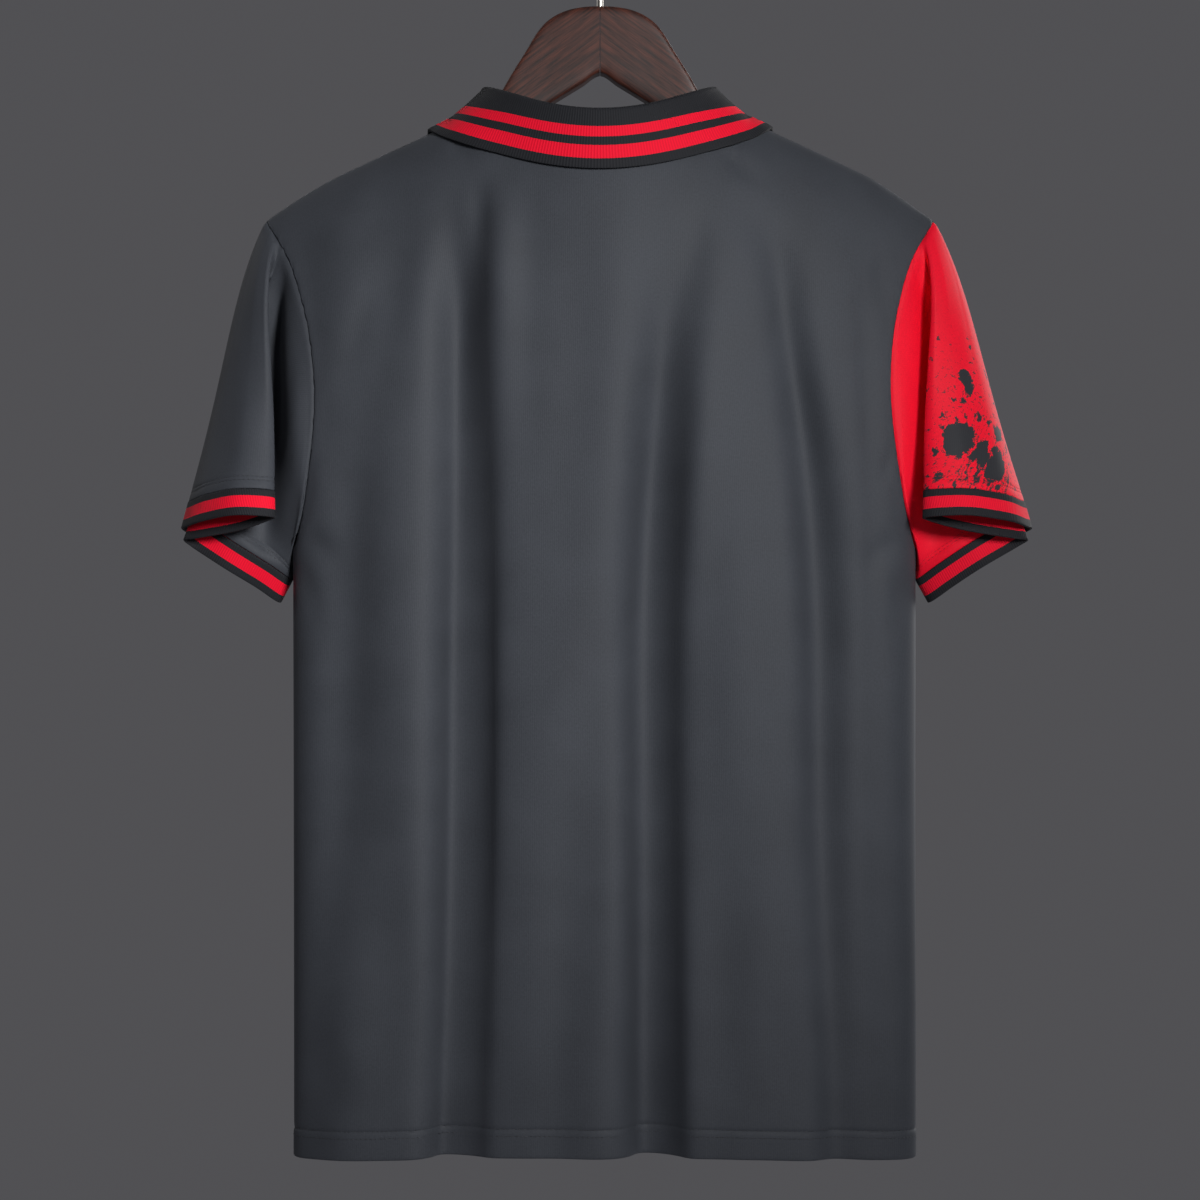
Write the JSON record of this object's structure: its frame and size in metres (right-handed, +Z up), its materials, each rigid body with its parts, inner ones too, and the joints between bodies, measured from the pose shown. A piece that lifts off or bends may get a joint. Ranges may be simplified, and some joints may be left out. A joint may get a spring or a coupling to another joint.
{
  "type": "training jersey on a hanger",
  "caption": "Short-sleeved training jersey with a striped rib collar and cuffs, one red sleeve, hung on a wooden hanger with a steel hook.",
  "frame": {"origin": "inner top of the hanger's hook, where a rail carries it", "axes": "+Z up; -Y the way the garment's back faces; +X the wearer's right, the red sleeve's side"},
  "size_m": [0.5957, 0.1426, 0.8676],
  "materials": {
    "body_cloth": "smooth interlock with a soft sheen",
    "red_cloth": "smooth interlock with a soft sheen",
    "rib_knit": "matt rib knit with red stripes",
    "button": "satin",
    "wood": "dark stain, satin varnish",
    "steel": "brushed"
  },
  "bodies": {
    "root": {"back_panel": "body_cloth", "front_panel": "body_cloth", "sleeve_left": "body_cloth", "sleeve_right": "red_cloth", "cuff_left": "rib_knit", "cuff_right": "rib_knit", "collar": "rib_knit", "placket_upper": "body_cloth", "placket_under": "body_cloth", "button_1": "button", "button_2": "button", "button_3": "button", "hanger_left": "wood", "hanger_right": "wood", "hanger_hook": "steel"}
  },
  "joints": []
}
